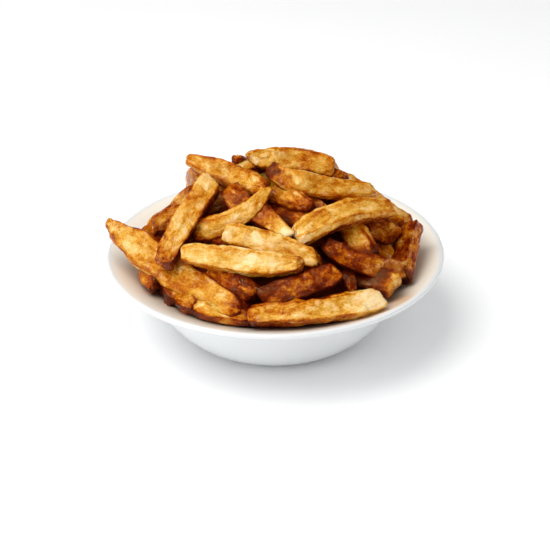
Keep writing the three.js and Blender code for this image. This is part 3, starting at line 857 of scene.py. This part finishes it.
def fried_potato(settings):
    """Skin that runs from pale cream through gold and amber to red-brown, wrinkled and oily."""
    nodes = Nodes("fry_skin")
    grain = nodes.attribute("grain").outputs["Vector"]
    # The fried attribute holds the skin's browning with painted shade added to it: deep in the heap, near
    # other fries and on sides turned down.
    fried = nodes.attribute("fried").outputs["Fac"]
    pale = nodes.attribute("pale").outputs["Fac"]
    streaks = nodes.noise(grain, 0.8, detail=3.0, roughness=0.6, distortion=1.2, along=0.35)
    mottles = nodes.noise(grain, 0.4, detail=5.0, roughness=0.62, distortion=0.8, along=0.6)
    specks = nodes.noise(grain, 1.4, detail=3.0, roughness=0.65, distortion=0.5, along=0.7)
    bends = nodes.noise(grain, 0.62, detail=3.0, roughness=0.55, distortion=2.2, along=0.35)
    off_bend = nodes.math("ABSOLUTE", nodes.math("SUBTRACT", bends, 0.5))
    veins = nodes.between(off_bend, 0.0, 0.05, to_low=1.0, to_high=0.0)
    tone = nodes.swayed(fried, streaks, 0.32)
    tone = nodes.swayed(tone, mottles, nodes.between(fried, 0.2, 1.1, to_low=0.62, to_high=1.25))
    tone = nodes.swayed(tone, specks, 0.66)
    tone = nodes.math("MULTIPLY_ADD", veins, 0.08, tone)
    stops = (
        (0.0, settings.pale_color), (0.13, settings.blond_color), (0.34, settings.gold_color),
        (0.56, settings.amber_color), (0.78, settings.brown_color), (1.0, settings.dark_color),
        (DARKEST, settings.burnt_color),
    )
    share = nodes.math("DIVIDE", tone, DARKEST)
    skin = nodes.ramp(share, [(at / DARKEST, color) for at, color in stops])
    blotch = nodes.between(nodes.noise(grain, 0.33, detail=4.0, roughness=0.65, distortion=0.8), 0.42, 0.66)
    blotch = nodes.math("MULTIPLY", nodes.math("MULTIPLY", blotch, pale), 0.8)
    nodes.surface("Base Color", nodes.mix(blotch, skin, settings.pale_color))
    oiled = nodes.noise(grain, 0.3, detail=3.0)
    nodes.surface("Roughness", nodes.between(oiled, 0.4, 0.6, to_low=0.09, to_high=0.2))
    wrinkles = nodes.noise(grain, 0.5, detail=2.5, roughness=0.45, distortion=1.0, along=0.45)
    puckers = nodes.noise(grain, 1.2, detail=1.5, distortion=0.6, along=0.6)
    height = nodes.math("MULTIPLY_ADD", veins, -0.06, wrinkles)
    height = nodes.math("MULTIPLY_ADD", specks, 0.2, height)
    height = nodes.math("MULTIPLY_ADD", puckers, 0.3, height)
    nodes.bump(height, distance=0.0012, strength=0.8)
    nodes.surface("Specular IOR Level", settings.oil)
    nodes.surface("Specular Tint", (1, 0.78, 0.36, 1))
    nodes.surface("Subsurface Weight", 0.45)
    nodes.surface("Subsurface Radius", (1.0, 0.42, 0.12))
    nodes.surface("Subsurface Scale", 0.002)
    return nodes.material


def steamed_core():
    """The inside of the heap, seen only between fries, coloured dark brown as painted shade."""
    nodes = Nodes("steamed_core")
    place = nodes.add("ShaderNodeTexCoord").outputs["Object"]
    patches = nodes.noise(place, 140, detail=4.0, roughness=0.6)
    color = nodes.ramp(patches, ((0.3, linear(64, 12, 2)), (0.7, linear(120, 40, 6))))
    nodes.surface("Base Color", color)
    nodes.bump(patches, distance=0.001, strength=0.8)
    nodes.surface("Roughness", 0.6)
    nodes.surface("Specular IOR Level", 0.1)
    return nodes.material


def white_glaze(settings):
    """Smooth white glaze, creamier and, as painted light, lighter inside, with painted warm shade and bounced
    light where fries lie close to it.
    """
    nodes = Nodes("bowl_glaze")
    place = nodes.add("ShaderNodeTexCoord").outputs["Object"]
    clouds = nodes.noise(place, 22, detail=3.0)
    color = nodes.ramp(clouds, ((0.3, settings.glaze_color), (0.75, settings.glaze_shade)))
    # Inside, the glaze is creamier and, as painted light, lighter than outside.
    color = nodes.mix(nodes.attribute("inside").outputs["Fac"], color, settings.inside_cream_and_light)
    smears = nodes.noise(place, 60, detail=3.0)
    # Painted warm shade and bounced light where fries lie close to the glaze.
    near_fries = nodes.attribute("near_fries").outputs["Fac"]
    patchy = nodes.between(smears, 0.2, 0.8, to_low=0.6)
    color = nodes.mix(nodes.math("MULTIPLY", near_fries, patchy), color, settings.painted_fry_shade_color)
    nodes.surface("Base Color", color)
    nodes.surface("Roughness", nodes.between(smears, 0.3, 0.7, to_low=0.14, to_high=0.22))
    nodes.bump(nodes.noise(place, 90), distance=0.0002, strength=0.25)
    return nodes.material


def studio_floor(settings):
    """Pale matt floor, with faint clouds."""
    nodes = Nodes("studio_floor")
    place = nodes.add("ShaderNodeTexCoord").outputs["Object"]
    shade = [value * FLOOR_SHADE for value in settings.floor_color[:3]] + [1]
    color = nodes.mix(nodes.noise(place, 6), settings.floor_color, shade)
    nodes.surface("Base Color", color)
    nodes.surface("Roughness", 0.8)
    nodes.surface("Specular IOR Level", 0)
    return nodes.material


# ---- Bowl ----
def bowl_profile():
    """Radius and height, from under the middle of the base, over the lip, to the floor's middle."""
    inner_foot = FOOT_RADIUS - FOOT_RING_WIDTH
    base = [(0, FOOT_RECESS), (inner_foot - FOOT_RECESS, FOOT_RECESS)]
    base += [(inner_foot - FOOT_BEVEL[0], FOOT_BEVEL[1]), (inner_foot, 0)]
    base += [(FOOT_RADIUS - FOOT_ROUNDING, 0)]
    body = curve_points((FOOT_RADIUS, FOOT_ROUNDING), *BODY_HANDLES, SHOULDER, CURVE_STEPS)
    turns = np.linspace(-math.pi / 2, math.pi / 2, LIP_STEPS)[:, None]
    middle = np.array([(RIM_RADIUS - LIP_RADIUS, RIM_HEIGHT - LIP_RADIUS)])
    lip = middle + LIP_RADIUS * np.hstack([np.cos(turns), np.sin(turns)])
    inside = inside_profile(CURVE_STEPS)[::-1]
    return np.vstack([base, body, LIP_UNDERSIDE, lip, inside])


def turned(profile, segments):
    """Vertices and faces of a profile turned round Z, with its ends on the axis."""
    angle = np.arange(segments) / segments * 2 * math.pi
    rim = profile[1:-1]
    rings = np.stack([rim[:, :1] * np.cos(angle), rim[:, :1] * np.sin(angle), rim[:, 1:] + 0 * angle], -1)
    index, onward, quads = ring_quads(len(rim), segments)
    vertices = np.vstack([rings.reshape(-1, 3), (0, 0, profile[0, 1]), (0, 0, profile[-1, 1])])
    bottom, top = len(vertices) - 2, len(vertices) - 1
    faces = quads.tolist()
    faces += [(bottom, onward[0, k], index[0, k]) for k in range(segments)]
    faces += [(top, index[-1, k], onward[-1, k]) for k in range(segments)]
    return vertices, faces


# ---- Settings ----
COLOR = {"subtype": "COLOR", "size": 4, "min": 0, "max": 1}
POWER = {"unit": "POWER", "min": 0}


class BowlSettings(bpy.types.PropertyGroup):
    segments: bpy.props.IntProperty(
        name="Segments", description="Faces round the bowl", default=160, min=24)
    glaze_color: bpy.props.FloatVectorProperty(
        name="Glaze", description="Colour of the glaze",
        default=linear(224, 226, 226), **COLOR)
    glaze_shade: bpy.props.FloatVectorProperty(
        name="Glaze shade", description="Colour where the glaze lies thicker",
        default=linear(220, 222, 223), **COLOR)
    # Creamier than the outside glaze, and lighter as painted light on the inner walls.
    inside_cream_and_light: bpy.props.FloatVectorProperty(
        name="Inside glaze", description="Colour of the glaze inside the bowl",
        default=linear(245, 239, 226), **COLOR)
    # Painted warm shade and bounced light from fries lying close to the glaze.
    painted_fry_shade_color: bpy.props.FloatVectorProperty(
        name="Oily glaze", description="Colour of the glaze where fries lie close to it",
        default=linear(222, 160, 84), **COLOR)


class FrySettings(bpy.types.PropertyGroup):
    spacing: bpy.props.FloatProperty(
        name="Ring spacing", description="Distance between the rings of a front fry", unit="LENGTH",
        subtype="DISTANCE", default=0.6 * MM, min=0.1 * MM)
    sides: bpy.props.IntProperty(
        name="Sides", description="Faces round a front fry", default=56, min=8)
    relief: bpy.props.FloatProperty(
        name="Relief", description="How deep wrinkles and blisters are", subtype="FACTOR", default=1.2,
        min=0, max=2)
    oil: bpy.props.FloatProperty(
        name="Oil", description="Film of oil on the skin", subtype="FACTOR", default=0.4, min=0, max=1)
    pale_color: bpy.props.FloatVectorProperty(
        name="Pale", description="Barely fried potato",
        default=linear(245, 216, 166), **COLOR)
    blond_color: bpy.props.FloatVectorProperty(
        name="Blond", description="Lightly fried skin",
        default=linear(238, 196, 124), **COLOR)
    gold_color: bpy.props.FloatVectorProperty(
        name="Gold", description="Golden skin",
        default=linear(218, 162, 57), **COLOR)
    amber_color: bpy.props.FloatVectorProperty(
        name="Amber", description="Skin fried longer",
        default=linear(193, 111, 4), **COLOR)
    brown_color: bpy.props.FloatVectorProperty(
        name="Brown", description="Browned edges and ends",
        default=linear(154, 58, 0), **COLOR)
    # The dark end of the skin's colours, also reached by the painted shade between the fries.
    dark_color: bpy.props.FloatVectorProperty(
        name="Dark", description="Skin between the fries",
        default=linear(104, 22, 0), **COLOR)
    burnt_color: bpy.props.FloatVectorProperty(
        name="Burnt", description="Nearly burnt tips",
        default=linear(74, 12, 0), **COLOR)


class StageSettings(bpy.types.PropertyGroup):
    key_power: bpy.props.FloatProperty(
        name="Key light", description="Power of the soft key light",
        default=8.4, **POWER)
    spark_power: bpy.props.FloatProperty(
        name="Spark light", description="Power of the small light that makes glints",
        default=9, **POWER)
    sheen_power: bpy.props.FloatProperty(
        name="Sheen light", description="Power of the small light in front that shows the film of oil",
        default=4.6, **POWER)
    fill_power: bpy.props.FloatProperty(
        name="Fill light", description="Power of the low light from the left",
        default=3.2, **POWER)
    side_power: bpy.props.FloatProperty(
        name="Side light", description="Power of the weak light from the right",
        default=1.0, **POWER)
    dome: bpy.props.FloatProperty(
        name="Dome", description="Brightness of the white surroundings", default=0.6, min=0)
    floor_color: bpy.props.FloatVectorProperty(
        name="Floor", description="Colour of the floor",
        default=(0.95, 0.955, 0.96, 1), **COLOR)


# ---- Steps ----
class TurnBowl(bpy.types.Operator):
    """Turn the white glazed side bowl."""

    bl_idname = "fries.turn_bowl"
    bl_label = "Turn the bowl"

    def execute(self, context):
        settings = context.scene.fry_bowl
        vertices, faces = turned(bowl_profile(), settings.segments)
        radius = np.hypot(vertices[:, 0], vertices[:, 1])
        inside = vertices[:, 2] > inside_height(radius) - INSIDE_MARGIN[1]
        inside &= radius < FLANGE_END[0] + INSIDE_MARGIN[0]
        # Painted warm shade and bounced light on the inside: how much of the light over it the front fries
        # take.
        inward = np.column_stack([-vertices[:, :2] / radius.max(), np.full(len(radius), FRY_SHADE_RISE)])
        inward /= np.linalg.norm(inward, axis=1)[:, None]
        near = crowding(vertices, inward, *gathered(front_fries()))
        looks = {"near_fries": fade(near, *FRY_SHADE_CROWDING) * inside, "inside": inside.astype(float)}
        bowl = mesh_object("side_bowl", vertices, faces, white_glaze(settings), looks)
        stands_for(bowl, "bowl")
        return {"FINISHED"}


class LayFrontFries(bpy.types.Operator):
    """Lay the fries that show from the front, each at its own place."""

    bl_idname = "fries.lay_front"
    bl_label = "Lay the front fries"

    def execute(self, context):
        front = front_fries()
        back = lay_by_rule(BACK_FRIES, front, front)
        ranked = sorted(front, key=lambda f: f["points"][:, 0].mean())
        third = len(ranked) // 3
        groups = {
            "front_fries_left": ranked[:third], "front_fries_middle": ranked[third:2 * third],
            "front_fries_right": ranked[2 * third:],
        }
        for name, fries in groups.items():
            others = [f for f in front + back if not any(f is own for own in fries)]
            add_fries(context, name, fries, others, context.scene.fries.sides)
        return {"FINISHED"}


class LayBackFries(bpy.types.Operator):
    """Lay the fries of the heap's back by rule."""

    bl_idname = "fries.lay_back"
    bl_label = "Lay the back fries"

    def execute(self, context):
        front = front_fries()
        back = toned(lay_by_rule(BACK_FRIES, front, front), BACK_FRIES)
        add_fries(context, "back_fries", back, front, BACK_SIDES, BACK_SPACING)
        return {"FINISHED"}


class LayInnerFries(bpy.types.Operator):
    """Lay the fries that show in the gaps of the heap, toned darker as painted shade."""

    bl_idname = "fries.lay_inner"
    bl_label = "Lay the inner fries"

    def execute(self, context):
        front = front_fries()
        outer = front + lay_by_rule(BACK_FRIES, front, front)
        inner = toned(lay_by_rule(INNER_FRIES, front, outer), INNER_FRIES)
        inner += placed_fries(GAP_FRIES, GAP_SEED)
        add_fries(context, "inner_fries", inner, outer, INNER_SIDES, INNER_SPACING)
        return {"FINISHED"}


class HeapCore(bpy.types.Operator):
    """Fill the inside of the heap."""

    bl_idname = "fries.heap_core"
    bl_label = "Fill the heap"

    def execute(self, context):
        radius = np.linspace(0, CORE_RADIUS, CORE_RINGS + 1)[1:, None]
        angle = np.arange(CORE_SIDES) / CORE_SIDES * 2 * math.pi
        x, y = radius * np.cos(angle), radius * np.sin(angle)
        floor = inside_height(radius + CORE_GAP) + CORE_GAP + 0 * x
        places = np.stack([x / CORE_BUMP_LENGTH, y / CORE_BUMP_LENGTH, 0 * x], -1)
        bumpy = outline_height(x, y) - CORE_DEPTH + noise(places, CORE_SEED) * CORE_BUMP_HEIGHT
        upper = np.stack([x, y, np.maximum(bumpy, floor + CORE_THINNEST)], -1)
        lower = np.stack([x, y, floor], -1)[::-1]
        rows = np.concatenate([upper, lower])
        index, _, quads = ring_quads(len(rows), CORE_SIDES)
        outward = np.roll(quads[:, ::-1], 1, 1)
        faces = outward.tolist() + [index[0].tolist(), index[-1][::-1].tolist()]
        piece = mesh_object("heap_core", rows.reshape(-1, 3), faces, steamed_core())
        stands_for(piece, "fries")
        return {"FINISHED"}


class SetStage(bpy.types.Operator):
    """Set the floor, the soft light and the camera."""

    bl_idname = "fries.set_stage"
    bl_label = "Set the stage"

    def execute(self, context):
        settings = context.scene.fry_stage
        half = FLOOR_SIZE / 2
        corners = np.array([(-half, -half, 0), (half, -half, 0), (half, half, 0), (-half, half, 0)])
        floor = mesh_object("floor", corners / MM, [(0, 1, 2, 3)], studio_floor(settings))
        floor.location.z = -FLOOR_DROP
        world = bpy.data.worlds.new("white_studio")
        world.use_nodes = True
        background = world.node_tree.nodes["Background"]
        background.inputs["Color"].default_value = (1, 1, 1, 1)
        background.inputs["Strength"].default_value = settings.dome
        context.scene.world = world
        world.cycles_visibility.glossy = False
        for name, place, size, power, color, unseen_by in LIGHTS:
            lamp = add_area_light(name, place, size, getattr(settings, power), color)
            setattr(lamp, unseen_by, False)
        add_camera(context.scene)
        context.scene.view_settings.view_transform = "Standard"
        return {"FINISHED"}


def add_area_light(name, place, size, power, color):
    light = bpy.data.lights.new(name, "AREA")
    light.shape = "DISK"
    light.size = size
    light.energy = power
    light.color = color
    lamp = bpy.data.objects.new(name, light)
    lamp.location = place
    aim = Vector((0, 0, RIM_HEIGHT * MM)) - Vector(place)
    lamp.rotation_euler = aim.to_track_quat("-Z", "Y").to_euler()
    bpy.context.scene.collection.objects.link(lamp)
    return lamp


def add_camera(scene):
    tilt, roll = math.radians(CAMERA_TILT), math.radians(CAMERA_ROLL)
    back = Vector((0, -math.cos(tilt), math.sin(tilt)))
    right, up = Vector((1, 0, 0)), Vector((0, math.sin(tilt), math.cos(tilt)))
    turned_right = right * math.cos(roll) - up * math.sin(roll)
    turned_up = up * math.cos(roll) + right * math.sin(roll)
    place = (Vector(CAMERA_TARGET) + back * CAMERA_DISTANCE) * MM
    data = bpy.data.cameras.new("camera")
    data.lens = LENS
    data.sensor_width = SENSOR
    camera = bpy.data.objects.new("camera", data)
    facing = Matrix((turned_right, turned_up, back)).transposed().to_4x4()
    camera.matrix_world = Matrix.Translation(place) @ facing
    scene.collection.objects.link(camera)
    scene.camera = camera


class FriesPanel(bpy.types.Panel):
    """Settings and steps of the portion."""

    bl_idname = "VIEW3D_PT_fries"
    bl_label = "Bowl of fries"
    bl_space_type = "VIEW_3D"
    bl_region_type = "UI"
    bl_category = "Fries"

    def draw(self, context):
        for group in ("fry_bowl", "fries", "fry_stage"):
            settings = getattr(context.scene, group)
            for key in settings.bl_rna.properties.keys():
                if key not in ("rna_type", "name"):
                    self.layout.prop(settings, key)
        for step in STEPS:
            self.layout.operator(step.bl_idname)


SETTINGS = {"fry_bowl": BowlSettings, "fries": FrySettings, "fry_stage": StageSettings}
STEPS = (SetStage, TurnBowl, HeapCore, LayInnerFries, LayBackFries, LayFrontFries)


def register():
    for kind in (*SETTINGS.values(), *STEPS, FriesPanel):
        bpy.utils.register_class(kind)
    for name, kind in SETTINGS.items():
        setattr(bpy.types.Scene, name, bpy.props.PointerProperty(type=kind))


def unregister():
    for name in SETTINGS:
        delattr(bpy.types.Scene, name)
    for kind in (FriesPanel, *reversed(STEPS), *SETTINGS.values()):
        bpy.utils.unregister_class(kind)


def main():
    register()
    bpy.ops.fries.set_stage()
    bpy.ops.fries.turn_bowl()
    bpy.ops.fries.heap_core()
    bpy.ops.fries.lay_inner()
    bpy.ops.fries.lay_back()
    bpy.ops.fries.lay_front()


if __name__ == "__main__":
    main()
